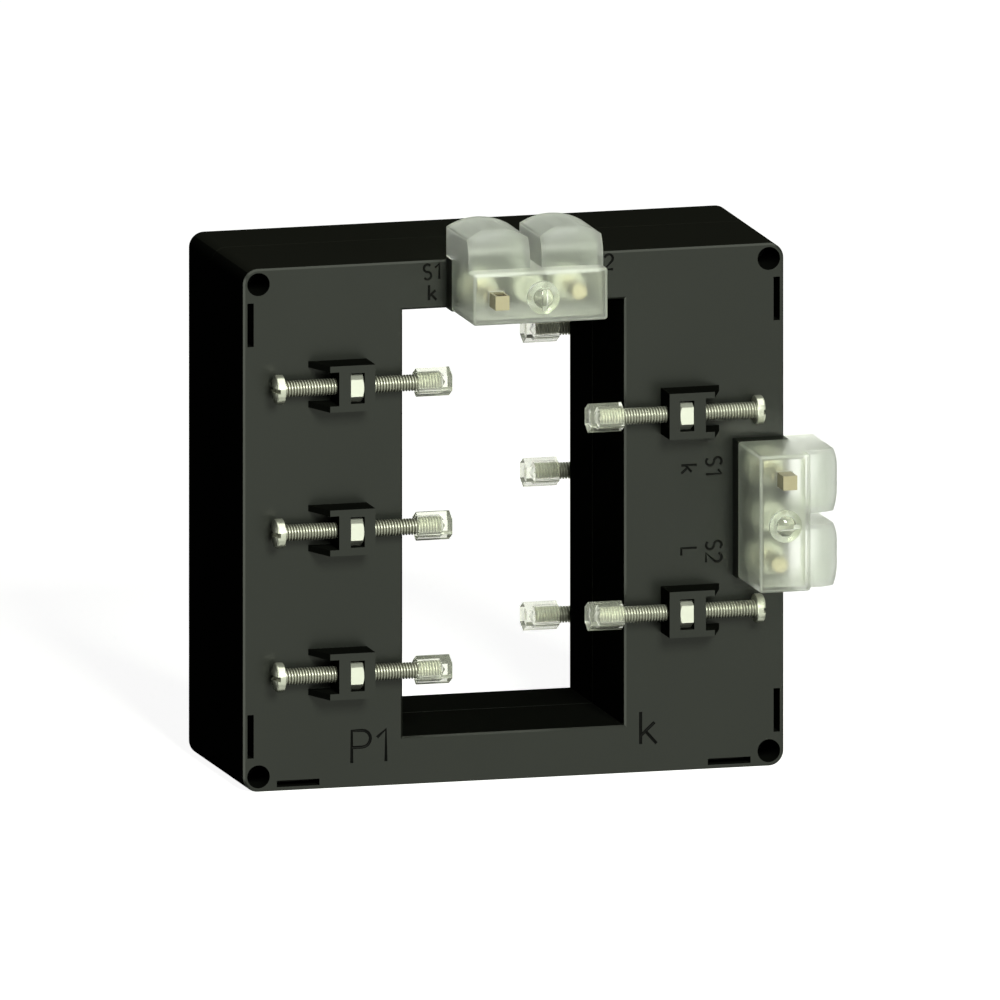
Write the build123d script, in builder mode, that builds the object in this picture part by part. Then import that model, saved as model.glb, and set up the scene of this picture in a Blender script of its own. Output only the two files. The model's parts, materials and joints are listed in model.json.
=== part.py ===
from build123d import *
from math import cos, pi, radians, tan
import os

os.makedirs("parts", exist_ok=True)

# A busbar current transformer: an upright moulded ring around a tall window, ten
# clamp screws that hold the bar in the window, and two covered terminal blocks.
# Lengths are in millimetres. The origin is the middle of the bottom face, X points
# right as seen from the front, the front face looks along -Y, and Z is up.

# Housing
housing_width = 131.5
housing_height = 125.0
housing_depth = 49.3
window_width = 54.0
ring_bar_height = 11.5
front_shell_depth = 28.8
shell_wall = 2.2
corner_radius = 3.6
cavity_corner_radius = 1.4
edge_bevel = 0.45
lip_height = 1.5
lip_thickness = 0.8
lip_clearance = 0.1

# Corner holes and edge slots that take mounting feet
foot_hole_radius = 2.75
foot_hole_depth = 14.0
foot_hole_inset = 3.65
foot_post_wall = 1.6
foot_post_floor = 1.6
foot_slot_width = 1.55
foot_slot_length = 10.4
foot_slot_depth = 6.0
foot_slot_inset = 0.95
foot_slot_start = 8.1
foot_slot_wall = 1.2

# Clamp brackets, moulded with the shells
bracket_inner = 35.8
bracket_height = 11.0
bracket_out = 8.0
bracket_gap_height = 8.1
bracket_gap_floor = 44.6
bracket_arm_front = 46.8
bracket_arm_base = 50.0
bracket_hole_clearance = 0.25
three_clamp_level = 34.4
two_clamp_level = 23.7

# Clamp nuts, one in each bracket
nut_across_flats = 7.0
nut_thickness = 3.2
nut_clearance = 0.1
nut_window_height = 7.3
nut_bore_clearance = 0.05

# Clamp screws and their caps
screw_axis_out = 4.35
screw_radius = 2.0
screw_length = 38.0
screw_tip_bevel = 0.4
head_seat = 57.4
head_radius = 3.5
head_height = 2.5
head_dome_height = 0.7
head_edge_radius = 0.5
head_slot_width = 1.1
head_slot_depth = 1.1
cap_across_flats = 6.0
cap_length = 8.1
cap_tip = 16.9
cap_bore_clearance = 0.05
cap_bore_reach = 0.1
drill_angle = 59.0
corner_trim_angle = 30.0

# Terminal blocks
base_width = 32.8
base_height = 12.3
base_thickness = 5.0
top_block_rise = 0.8
side_block_rise = -0.15
base_peg_radius = 1.0
base_peg_spacing = 11.0
base_peg_clearance = 0.1
pillar_radius = 3.4
pillar_height = 7.0
terminal_inset = 5.8
terminal_hole_clearance = 0.4
stud_radius = 2.0
stud_fit = 0.02
stud_tail = 5.0
stud_end = 20.0
collar_radius = 3.6
collar_thickness = 1.0
washer_radius = 4.0
washer_thickness = 0.8
washer_clearance = 0.15
pin_radius = 1.1
pin_length = 4.0
socket_width = 3.4
socket_wall = 0.5
socket_end = 29.0
socket_seat_gap = 0.2
socket_notch_length = 3.4

# Terminal covers
cover_wall = 1.2
cover_rise = 0.2
cover_front = 24.3
cover_seat_gap = 0.05
cover_edge_radius = 0.8
hood_width = 15.0
hood_rise = 9.2
hood_depth = 19.9
hood_front_radius = 6.5
hood_crown_radius = 15.0
hood_foot_gap = 0.1
hood_root = 2.0
socket_hole_clearance = 0.2
cover_screw_offset = 0.5
cover_screw_radius = 2.0
cover_screw_clearance = 0.1
cover_screw_end = 7.5
knob_radius = 3.95
knob_height = 2.7
knob_dome_height = 2.0
knob_edge_radius = 0.4
knob_slot_width = 1.2
knob_slot_depth = 1.2

# Core, bobbins and windings inside
core_thickness = 5.5
core_depth = 28.0
core_outer_radius = 6.5
core_rib_width = 4.0
core_rib_spacing = 12.0
core_rib_gap = 0.1
bobbin_length = 80.0
bobbin_wall = 1.2
bobbin_clearance = 0.3
bobbin_shell_gap = 0.4
flange_thickness = 1.6
winding_gap = 0.1
winding_margin = 0.6
winding_corner_radius = 3.0
lead_radius = 0.9
lead_bend = 4.0
lead_clear = 6.0

# Places that follow from the sizes above
front_y = -housing_depth / 2
rear_y = housing_depth / 2
middle_z = housing_height / 2
window_height = housing_height - 2 * ring_bar_height
terminal_spacing = base_width - 2 * terminal_inset
rear_shell_depth = housing_depth - front_shell_depth
hexagon_side_count = 6
flat_to_front = 30.0

# Each face of the housing has the same plan when one looks straight at it
front = Plane(origin=(0, front_y, middle_z), x_dir=(1, 0, 0), z_dir=(0, -1, 0))
rear = Plane(origin=(0, rear_y, middle_z), x_dir=(-1, 0, 0), z_dir=(0, 1, 0))

# A terminal block's plane: x along the block, y out past the housing's edge
top_block = Plane(
    origin=(0, front_y, housing_height + top_block_rise),
    x_dir=(1, 0, 0),
    z_dir=(0, -1, 0),
)
side_block = Plane(
    origin=(housing_width / 2 + side_block_rise, front_y, middle_z),
    x_dir=(0, 0, -1),
    z_dir=(0, -1, 0),
)
blocks = {"top": top_block, "side": side_block}


def clamp_places(face):
    """The side and level of each clamp: three on one side, two on the other."""
    places = [(-1, row * three_clamp_level) for row in (1, 0, -1)]
    places += [(1, row * two_clamp_level) for row in (1, -1)]
    return places


def clamp_profile(face, side, level, out):
    """A plane that holds the clamp's axis: x runs outwards, y away from the face."""
    outwards = face.x_dir * side
    return Plane(
        origin=face.from_local_coords((0, level, out)),
        x_dir=outwards,
        z_dir=outwards.cross(face.z_dir),
    )


def clamp_section(face, side, level, along):
    """A plane across the clamp's axis, at a distance from the housing's middle."""
    outwards = face.x_dir * side
    start = Vector(*face.from_local_coords((0, level, screw_axis_out)))
    return Plane(origin=start + outwards * along, x_dir=face.z_dir, z_dir=outwards)


def draw_ring(inset, window_inset):
    """The housing's outline and window, drawn in by a wall."""
    RectangleRounded(
        housing_width - 2 * inset,
        housing_height - 2 * inset,
        max(corner_radius - inset, cavity_corner_radius),
    )
    Rectangle(
        window_width + 2 * window_inset,
        window_height + 2 * window_inset,
        mode=Mode.SUBTRACT,
    )


def trim_hexagon(profile, end, direction, flat, trim):
    """Cut the corners of a hexagonal bar back in a cone at one end."""
    corner = flat / cos(pi / hexagon_side_count) + trim
    start = flat - trim
    drop = (corner - start) * tan(radians(corner_trim_angle))
    with BuildSketch(profile) as wedge:
        Polygon(
            (end, start),
            (end, corner),
            (end - direction * drop, corner),
            align=None,
        )
    revolve(wedge.sketch, axis=Axis(profile.origin, profile.x_dir), mode=Mode.SUBTRACT)


def draw_dome(top, radius, rise):
    """The arc from a head's rim to the middle of its domed top."""
    sphere = (radius**2 + rise**2) / (2 * rise)
    rim = Vector(top - rise, radius)
    centre = Vector(top - sphere, 0)
    halfway = centre + ((rim - centre).normalized() + Vector(1, 0)).normalized() * sphere
    ThreePointArc(rim, halfway, (top, 0))


def foot_slot_centres():
    """Slots beside every corner, and flat ones along the bottom edge."""
    across = housing_width / 2 - foot_slot_inset - foot_slot_width / 2
    along = housing_height / 2 - foot_slot_start - foot_slot_length / 2
    low = housing_height / 2 - foot_slot_inset - foot_slot_width / 2
    inwards = housing_width / 2 - foot_slot_start - foot_slot_length / 2
    upright = [(x, z) for x in (-across, across) for z in (-along, along)]
    level = [(x, -low) for x in (-inwards, inwards)]
    return upright, level


def draw_foot_slots(grow):
    """The slots' outlines, larger by a wall where they stand in the shell."""
    upright, level = foot_slot_centres()
    with Locations(*upright):
        Rectangle(foot_slot_width + 2 * grow, foot_slot_length + 2 * grow)
    with Locations(*level):
        Rectangle(foot_slot_length + 2 * grow, foot_slot_width + 2 * grow)


def foot_hole_centres():
    """The four corner holes of a face."""
    return GridLocations(
        housing_width - 2 * foot_hole_inset,
        housing_height - 2 * foot_hole_inset,
        2,
        2,
    )


def add_bracket(face, side, level):
    """A clamp bracket: a block with a nut pocket and a fork that opens outwards."""
    base = clamp_profile(face, side, level, 0)
    with BuildSketch(base) as block:
        Polygon(
            (bracket_inner, -shell_wall / 2),
            (bracket_inner, bracket_out),
            (bracket_arm_front, bracket_out),
            (bracket_arm_base, 0),
            (bracket_arm_base, -shell_wall / 2),
            align=None,
        )
    extrude(block.sketch, amount=bracket_height / 2, both=True)
    with BuildSketch(base) as fork:
        Polygon(
            (bracket_gap_floor, 0),
            (bracket_gap_floor, 2 * bracket_out),
            (2 * bracket_arm_base, 2 * bracket_out),
            (2 * bracket_arm_base, 0),
            align=None,
        )
    extrude(fork.sketch, amount=bracket_gap_height / 2, both=True, mode=Mode.SUBTRACT)
    with BuildSketch(base) as window:
        Polygon(
            (nut_seat - nut_thickness - 2 * nut_clearance, screw_axis_out),
            (nut_seat - nut_thickness - 2 * nut_clearance, 2 * bracket_out),
            (nut_seat, 2 * bracket_out),
            (nut_seat, screw_axis_out),
            align=None,
        )
    extrude(window.sketch, amount=nut_window_height / 2, both=True, mode=Mode.SUBTRACT)
    with BuildSketch(clamp_section(face, side, level, nut_seat)) as pocket:
        RegularPolygon(
            nut_across_flats / 2 + nut_clearance,
            hexagon_side_count,
            major_radius=False,
            rotation=flat_to_front,
        )
    extrude(
        pocket.sketch,
        amount=-nut_thickness - 2 * nut_clearance,
        mode=Mode.SUBTRACT,
    )
    with BuildSketch(clamp_section(face, side, level, bracket_inner - edge_bevel)) as bore:
        Circle(screw_radius + bracket_hole_clearance)
    extrude(
        bore.sketch,
        amount=bracket_gap_floor - bracket_inner + 2 * edge_bevel,
        mode=Mode.SUBTRACT,
    )


def moulded_half(face, depth):
    """What both halves of the housing share, as seen from their own face."""
    with BuildPart() as half:
        with BuildSketch(face):
            draw_ring(0, 0)
        extrude(amount=-depth)
        outer_face = half.faces().sort_by(Axis(face.origin, face.z_dir))[-1]
        chamfer(outer_face.edges(), edge_bevel)
        with BuildSketch(face.offset(-shell_wall)):
            draw_ring(shell_wall, shell_wall)
        extrude(amount=shell_wall - depth, mode=Mode.SUBTRACT)

        # Posts round the corner holes and pockets round the slots
        with BuildSketch(face.offset(-shell_wall / 2)):
            with foot_hole_centres():
                Circle(foot_hole_radius + foot_post_wall)
            with BuildSketch(mode=Mode.INTERSECT):
                draw_ring(shell_wall / 2, shell_wall / 2)
        extrude(amount=-foot_hole_depth - foot_post_floor + shell_wall / 2)
        with BuildSketch(face.offset(-shell_wall / 2)):
            draw_foot_slots(foot_slot_wall)
            with BuildSketch(mode=Mode.INTERSECT):
                draw_ring(shell_wall / 2, shell_wall / 2)
        extrude(amount=-foot_slot_depth - foot_slot_wall + shell_wall / 2)
        with BuildSketch(face):
            with foot_hole_centres():
                Circle(foot_hole_radius)
        extrude(amount=-foot_hole_depth, mode=Mode.SUBTRACT)
        with BuildSketch(face):
            draw_foot_slots(0)
        extrude(amount=-foot_slot_depth, mode=Mode.SUBTRACT)

        # Ribs that the core rests between
        with BuildSketch(face.offset(-shell_wall / 2)):
            with GridLocations(core_rib_spacing, core_bar_middle * 2, 2, 2):
                Rectangle(core_rib_width, core_bar_room + shell_wall)
        extrude(amount=shell_wall / 2 + core_depth / 2 + core_rib_gap - housing_depth / 2)

        for side, level in clamp_places(face):
            add_bracket(face, side, level)
    return half.part


# The core's bars lie in the middle of the narrow top and bottom of the housing
core_bar_room = ring_bar_height - 2 * shell_wall
core_bar_middle = window_height / 2 + ring_bar_height / 2
nut_seat = bracket_gap_floor - (bracket_gap_floor - bracket_inner - nut_thickness) / 2

with BuildPart() as front_shell:
    add(moulded_half(front, front_shell_depth))
    for block in blocks.values():
        with BuildSketch(block):
            with Locations((0, -base_height / 2)):
                with GridLocations(base_peg_spacing, 0, 2, 1):
                    Circle(base_peg_radius + base_peg_clearance)
        extrude(amount=-shell_wall, mode=Mode.SUBTRACT)

        # The studs' tails keep clear of the wall and of the ribs behind it
        with BuildSketch(block):
            with Locations((0, -base_height / 2)):
                with GridLocations(terminal_spacing, 0, 2, 1):
                    Circle(stud_radius + terminal_hole_clearance)
        extrude(amount=-stud_tail - terminal_hole_clearance, mode=Mode.SUBTRACT)
front_shell.part.label = "front_shell"
export_step(front_shell.part, "parts/front_shell.step")

with BuildPart() as rear_shell:
    add(moulded_half(rear, rear_shell_depth))
    # A lip on the seam reaches into the front shell, round the cavity's two walls
    with BuildSketch(rear.offset(lip_thickness - rear_shell_depth)):
        draw_ring(shell_wall - lip_thickness, shell_wall - lip_thickness)
        with BuildSketch(mode=Mode.SUBTRACT):
            draw_ring(shell_wall + lip_thickness, shell_wall + lip_thickness)
    extrude(amount=-lip_thickness)
    with BuildSketch(rear.offset(-rear_shell_depth)):
        draw_ring(shell_wall + lip_clearance, shell_wall + lip_clearance)
        with BuildSketch(mode=Mode.SUBTRACT):
            draw_ring(shell_wall + lip_thickness, shell_wall + lip_thickness)
    extrude(amount=-lip_height)
rear_shell.part.label = "rear_shell"
export_step(rear_shell.part, "parts/rear_shell.step")

# Clamp nuts, five in each face, pressed against the outer wall of their pockets
for face_name, face in (("front", front), ("rear", rear)):
    with BuildPart() as clamp_nuts:
        for side, level in clamp_places(face):
            with BuildSketch(clamp_section(face, side, level, nut_seat - nut_clearance)):
                RegularPolygon(
                    nut_across_flats / 2,
                    hexagon_side_count,
                    major_radius=False,
                    rotation=flat_to_front,
                )
                Circle(screw_radius + nut_bore_clearance, mode=Mode.SUBTRACT)
            extrude(amount=-nut_thickness)
            trim_hexagon(
                clamp_profile(face, side, level, screw_axis_out),
                nut_seat - nut_clearance - nut_thickness,
                -1,
                nut_across_flats / 2,
                0,
            )
    clamp_nuts.part.label = face_name + "_clamp_nuts"
    export_step(clamp_nuts.part, "parts/" + clamp_nuts.part.label + ".step")


def clamp_name(face_name, side, level):
    """Left and right as seen from the front, upper, middle or lower."""
    is_right = (side > 0) == (face_name == "front")
    height = "upper" if level > 0 else "lower" if level < 0 else "middle"
    return face_name + ("_right_" if is_right else "_left_") + height


# Clamp screws with slotted heads, and the clear caps on their tips
for face_name, face in (("front", front), ("rear", rear)):
    for side, level in clamp_places(face):
        name = clamp_name(face_name, side, level)
        profile = clamp_profile(face, side, level, screw_axis_out)
        axis = Axis(profile.origin, profile.x_dir)
        tip = head_seat - screw_length
        top = head_seat + head_height
        with BuildPart() as screw:
            with BuildSketch(profile) as turned:
                with BuildLine():
                    Polyline(
                        (top, 0),
                        (tip, 0),
                        (tip, screw_radius - screw_tip_bevel),
                        (tip + screw_tip_bevel, screw_radius),
                        (head_seat, screw_radius),
                        (head_seat, head_radius),
                        (top - head_dome_height, head_radius),
                    )
                    draw_dome(top, head_radius, head_dome_height)
                make_face()
                rim = (top - head_dome_height, head_radius)
                fillet(turned.vertices().sort_by_distance(rim)[0], head_edge_radius)
            revolve(axis=axis)
            with BuildSketch(clamp_section(face, side, level, top)):
                Rectangle(3 * head_radius, head_slot_width)
            extrude(amount=-head_slot_depth, mode=Mode.SUBTRACT)
        screw.part.label = name + "_screw"
        export_step(screw.part, "parts/" + screw.part.label + ".step")

        with BuildPart() as cap:
            with BuildSketch(clamp_section(face, side, level, cap_tip)):
                RegularPolygon(
                    cap_across_flats / 2,
                    hexagon_side_count,
                    major_radius=False,
                    rotation=flat_to_front,
                )
            extrude(amount=cap_length)
            cap_mouth = cap_tip + cap_length
            bore_radius = screw_radius + cap_bore_clearance
            bore_end = tip - cap_bore_reach
            with BuildSketch(profile):
                Polygon(
                    (cap_mouth, 0),
                    (cap_mouth, bore_radius),
                    (bore_end, bore_radius),
                    (bore_end - bore_radius / tan(radians(drill_angle)), 0),
                    align=None,
                )
            revolve(axis=axis, mode=Mode.SUBTRACT)
        cap.part.label = name + "_cap"
        export_step(cap.part, "parts/" + cap.part.label + ".step")

# What each terminal block holds
terminal_names = {"s1": -terminal_spacing / 2, "s2": terminal_spacing / 2}
block_middle = -base_height / 2
washer_seat = base_thickness + collar_thickness
nut_foot = washer_seat + washer_thickness


def hood_form(block, along, inset):
    """One rounded hood over a wire, drawn in by a wall to make its inside."""
    side_plane = Plane(
        origin=block.from_local_coords((along, 0, 0)),
        x_dir=block.z_dir,
        z_dir=block.z_dir.cross(block.y_dir),
    )
    rise = hood_rise - inset
    depth = hood_depth - inset
    radius = hood_front_radius - inset
    back = -inset
    foot = hood_foot_gap - inset
    root = -hood_root
    with BuildPart() as hood:
        with BuildSketch(side_plane):
            with BuildLine():
                Polyline(
                    (depth, rise - radius),
                    (depth, root),
                    (base_thickness + cover_seat_gap, root),
                    (base_thickness + cover_seat_gap, foot),
                    (back, foot),
                    (back, rise),
                    (depth - radius, rise),
                )
                RadiusArc((depth - radius, rise), (depth, rise - radius), radius)
            make_face()
        extrude(amount=hood_width / 2 - inset, both=True)

        # Seen from the front, the hood's top is an arch between two ridges
        with BuildSketch(block.offset(back)):
            with Locations((along, hood_rise - hood_crown_radius)):
                Circle(hood_crown_radius - inset)
            with Locations((along, (rise + root) / 2)):
                Rectangle(hood_width - 2 * inset, rise - root, mode=Mode.INTERSECT)
        extrude(amount=depth - back, mode=Mode.INTERSECT)
    return hood.part


for block_name, block in blocks.items():
    # The black base under the terminals, pegged to the front shell
    with BuildPart() as base:
        with BuildSketch(block):
            with Locations((0, block_middle)):
                Rectangle(base_width, base_height)
        extrude(amount=base_thickness)
        with BuildSketch(block.offset(base_thickness)):
            with Locations((cover_screw_offset, block_middle)):
                Circle(pillar_radius)
        extrude(amount=pillar_height)
        with BuildSketch(block):
            with Locations((0, block_middle)):
                with GridLocations(base_peg_spacing, 0, 2, 1):
                    Circle(base_peg_radius)
        extrude(amount=-shell_wall)
        with BuildSketch(block):
            with Locations((0, block_middle)):
                with GridLocations(terminal_spacing, 0, 2, 1):
                    Circle(stud_radius + stud_fit)
        extrude(amount=base_thickness, mode=Mode.SUBTRACT)
        with BuildSketch(block.offset(cover_screw_end - cover_screw_clearance)):
            with Locations((cover_screw_offset, block_middle)):
                Circle(cover_screw_radius + cover_screw_clearance)
        extrude(amount=base_thickness + pillar_height, mode=Mode.SUBTRACT)
    base.part.label = block_name + "_terminal_base"
    export_step(base.part, "parts/" + base.part.label + ".step")

    for terminal, along in terminal_names.items():
        prefix = block_name + "_" + terminal
        stud_plane = Plane(
            origin=block.from_local_coords((along, block_middle, 0)),
            x_dir=block.x_dir,
            z_dir=block.z_dir,
        )
        with BuildPart() as stud:
            with BuildSketch(stud_plane.offset(-stud_tail)):
                Circle(stud_radius)
            extrude(amount=stud_tail + stud_end)
            with BuildSketch(stud_plane.offset(base_thickness)):
                Circle(collar_radius)
            extrude(amount=collar_thickness)
            stud_tips = stud.edges().sort_by(Axis(stud_plane.origin, stud_plane.z_dir))
            chamfer(stud_tips[-1], screw_tip_bevel)
            if terminal == "s1":
                with BuildSketch(stud_plane.offset(stud_end)):
                    Circle(pin_radius)
                extrude(amount=pin_length)
        stud.part.label = prefix + "_stud"
        export_step(stud.part, "parts/" + stud.part.label + ".step")

        with BuildPart() as washer:
            with BuildSketch(stud_plane.offset(washer_seat)):
                Circle(washer_radius)
                Circle(stud_radius + washer_clearance, mode=Mode.SUBTRACT)
            extrude(amount=washer_thickness)
        washer.part.label = prefix + "_washer"
        export_step(washer.part, "parts/" + washer.part.label + ".step")

        with BuildPart() as terminal_nut:
            with BuildSketch(stud_plane.offset(nut_foot)):
                RegularPolygon(nut_across_flats / 2, hexagon_side_count, major_radius=False)
                Circle(stud_radius + nut_bore_clearance, mode=Mode.SUBTRACT)
            extrude(amount=nut_thickness)
            nut_profile = Plane(
                origin=stud_plane.origin,
                x_dir=stud_plane.z_dir,
                z_dir=stud_plane.z_dir.cross(stud_plane.y_dir),
            )
            nut_top = nut_foot + nut_thickness
            trim_hexagon(nut_profile, nut_top, 1, nut_across_flats / 2, 0)
        terminal_nut.part.label = prefix + "_nut"
        export_step(terminal_nut.part, "parts/" + terminal_nut.part.label + ".step")

    # A square socket folded from brass strip, pushed on the pin of the first stud
    socket_along = terminal_names["s1"]
    socket_start = stud_end + socket_seat_gap
    socket_inside = socket_end - socket_wall
    socket_inner_width = socket_width - 2 * socket_wall
    with BuildPart() as socket:
        with BuildSketch(block.offset(socket_start)):
            with Locations((socket_along, block_middle)):
                Rectangle(socket_width, socket_width)
        extrude(amount=socket_end - socket_start)
        with BuildSketch(block.offset(socket_inside)):
            with Locations((socket_along, block_middle)):
                Rectangle(socket_inner_width, socket_inner_width)
        extrude(amount=socket_start - socket_inside, mode=Mode.SUBTRACT)
        with BuildSketch(block.offset(socket_inside)):
            with Locations((socket_along, block_middle + socket_width / 2)):
                Rectangle(socket_inner_width, 2 * socket_wall + socket_seat_gap)
        extrude(amount=-socket_notch_length, mode=Mode.SUBTRACT)
    socket.part.label = block_name + "_test_socket"
    export_step(socket.part, "parts/" + socket.part.label + ".step")

    # The clear cover: a box over the terminals with two hoods for the wires
    cover_height = base_height + cover_rise
    cover_middle = cover_rise - cover_height / 2
    cover_seat = base_thickness + cover_seat_gap
    with BuildPart() as cover:
        with BuildSketch(block.offset(cover_seat)):
            with Locations((0, cover_middle)):
                Rectangle(base_width, cover_height)
        extrude(amount=cover_front - cover_seat)
        depth_axis = Axis(block.origin, block.z_dir)
        seat_edges = cover.edges().group_by(depth_axis)[0]
        fillet(cover.edges() - seat_edges, cover_edge_radius)
        for end in (-1, 1):
            add(hood_form(block, end * (base_width - hood_width) / 2, 0))
        with BuildSketch(block.offset(cover_seat)):
            with Locations((0, cover_middle)):
                Rectangle(base_width - 2 * cover_wall, cover_height - 2 * cover_wall)
        extrude(amount=cover_front - cover_seat - cover_wall, mode=Mode.SUBTRACT)
        for end in (-1, 1):
            inside = hood_form(block, end * (base_width - hood_width) / 2, cover_wall)
            add(inside, mode=Mode.SUBTRACT)
        with BuildSketch(block.offset(cover_front - 2 * cover_wall)):
            with Locations((cover_screw_offset, block_middle)):
                Circle(cover_screw_radius + cover_screw_clearance)
            with Locations((socket_along, block_middle)):
                hole_width = socket_width + 2 * socket_hole_clearance
                Rectangle(hole_width, hole_width)
        extrude(amount=3 * cover_wall, mode=Mode.SUBTRACT)
    cover.part.label = block_name + "_terminal_cover"
    export_step(cover.part, "parts/" + cover.part.label + ".step")

    # The clear slotted knob that holds the cover
    knob_plane = Plane(
        origin=block.from_local_coords((cover_screw_offset, block_middle, 0)),
        x_dir=block.z_dir,
        z_dir=block.z_dir.cross(block.y_dir),
    )
    knob_seat = cover_front + cover_seat_gap
    knob_top = knob_seat + knob_height
    with BuildPart() as knob:
        with BuildSketch(knob_plane) as turned:
            with BuildLine():
                Polyline(
                    (knob_top, 0),
                    (cover_screw_end, 0),
                    (cover_screw_end, cover_screw_radius),
                    (knob_seat, cover_screw_radius),
                    (knob_seat, knob_radius),
                    (knob_top - knob_dome_height, knob_radius),
                )
                draw_dome(knob_top, knob_radius, knob_dome_height)
            make_face()
            rim = (knob_top - knob_dome_height, knob_radius)
            fillet(turned.vertices().sort_by_distance(rim)[0], knob_edge_radius)
        revolve(axis=Axis(knob_plane.origin, knob_plane.x_dir))
        with BuildSketch(block.offset(knob_top)):
            with Locations((cover_screw_offset, block_middle)):
                Rectangle(knob_slot_width, 3 * knob_radius)
        extrude(amount=-knob_slot_depth, mode=Mode.SUBTRACT)
    knob.part.label = block_name + "_cover_screw"
    export_step(knob.part, "parts/" + knob.part.label + ".step")

# The core: steel strip wound into a tall ring, with a bobbin on each upright leg
window_wall_x = window_width / 2 + shell_wall + lip_thickness
winding_depth_room = housing_depth / 2 - shell_wall - bobbin_shell_gap
tube_outer_depth = core_depth / 2 + bobbin_clearance + bobbin_wall
winding_thickness = winding_depth_room - tube_outer_depth
tube_half_width = core_thickness / 2 + bobbin_clearance + bobbin_wall
leg_x = window_wall_x + bobbin_shell_gap + winding_thickness + tube_half_width
middle_plane = Plane(origin=(0, 0, middle_z), x_dir=(1, 0, 0), z_dir=(0, -1, 0))
core_height = 2 * core_bar_middle + core_thickness

with BuildPart() as core:
    with BuildSketch(middle_plane):
        RectangleRounded(2 * leg_x + core_thickness, core_height, core_outer_radius)
        RectangleRounded(
            2 * leg_x - core_thickness,
            core_height - 2 * core_thickness,
            core_outer_radius - core_thickness,
            mode=Mode.SUBTRACT,
        )
    extrude(amount=core_depth / 2, both=True)
core.part.label = "core"
export_step(core.part, "parts/core.step")

for side_name, leg_side in (("left", -1), ("right", 1)):
    leg = Plane(origin=(leg_side * leg_x, 0, middle_z), x_dir=(1, 0, 0), z_dir=(0, 0, 1))
    hole_width = core_thickness + 2 * bobbin_clearance
    hole_depth = core_depth + 2 * bobbin_clearance
    tube_width = hole_width + 2 * bobbin_wall
    tube_depth = hole_depth + 2 * bobbin_wall
    flange_width = tube_width + 2 * winding_thickness
    flange_depth = tube_depth + 2 * winding_thickness
    with BuildPart() as bobbin:
        with BuildSketch(leg):
            Rectangle(tube_width, tube_depth)
        extrude(amount=bobbin_length / 2, both=True)
        for end in (-1, 1):
            with BuildSketch(leg.offset(end * (bobbin_length - flange_thickness) / 2)):
                Rectangle(flange_width, flange_depth)
            extrude(amount=flange_thickness / 2, both=True)
        with BuildSketch(leg):
            Rectangle(hole_width, hole_depth)
        extrude(amount=bobbin_length / 2, both=True, mode=Mode.SUBTRACT)
    bobbin.part.label = side_name + "_bobbin"
    export_step(bobbin.part, "parts/" + bobbin.part.label + ".step")

    with BuildPart() as winding:
        with BuildSketch(leg):
            RectangleRounded(
                flange_width - 2 * winding_margin,
                flange_depth - 2 * winding_margin,
                winding_corner_radius,
            )
            Rectangle(
                tube_width + 2 * winding_gap,
                tube_depth + 2 * winding_gap,
                mode=Mode.SUBTRACT,
            )
        extrude(amount=bobbin_length / 2 - flange_thickness - winding_gap, both=True)
    winding.part.label = side_name + "_winding"
    export_step(winding.part, "parts/" + winding.part.label + ".step")

# Leads from the bobbins' flanges to the tails of the studs
lead_y = front_y + stud_tail + lead_radius
flange_reach = bobbin_length / 2
top_stud_z = housing_height + top_block_rise + block_middle
side_stud_x = housing_width / 2 + side_block_rise + block_middle
side_lead_turn_z = flange_reach + lead_clear
side_lead_foot_x = leg_x + lead_clear
lead_routes = {}
for side_name, sign in (("s1", -1), ("s2", 1)):
    lead_routes["top_" + side_name + "_lead"] = [
        (sign * terminal_spacing / 2, lead_y, top_stud_z),
        (sign * leg_x, lead_y, top_stud_z),
        (sign * leg_x, lead_y, middle_z + flange_reach),
    ]
    lead_routes["side_" + side_name + "_lead"] = [
        (side_stud_x, lead_y, middle_z - sign * terminal_spacing / 2),
        (side_stud_x, lead_y, middle_z - sign * side_lead_turn_z),
        (side_lead_foot_x, lead_y, middle_z - sign * side_lead_turn_z),
        (side_lead_foot_x, lead_y, middle_z - sign * flange_reach),
    ]
for lead_name, route in lead_routes.items():
    with BuildPart() as lead:
        with BuildLine() as path:
            FilletPolyline(*route, radius=lead_bend)
        with BuildSketch(Plane(origin=path.line @ 0, z_dir=path.line % 0)):
            Circle(lead_radius)
        sweep()
    lead.part.label = lead_name
    export_step(lead.part, "parts/" + lead_name + ".step")
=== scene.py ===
import json
import math

import bmesh
import bpy
from mathutils import Matrix, Vector


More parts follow.
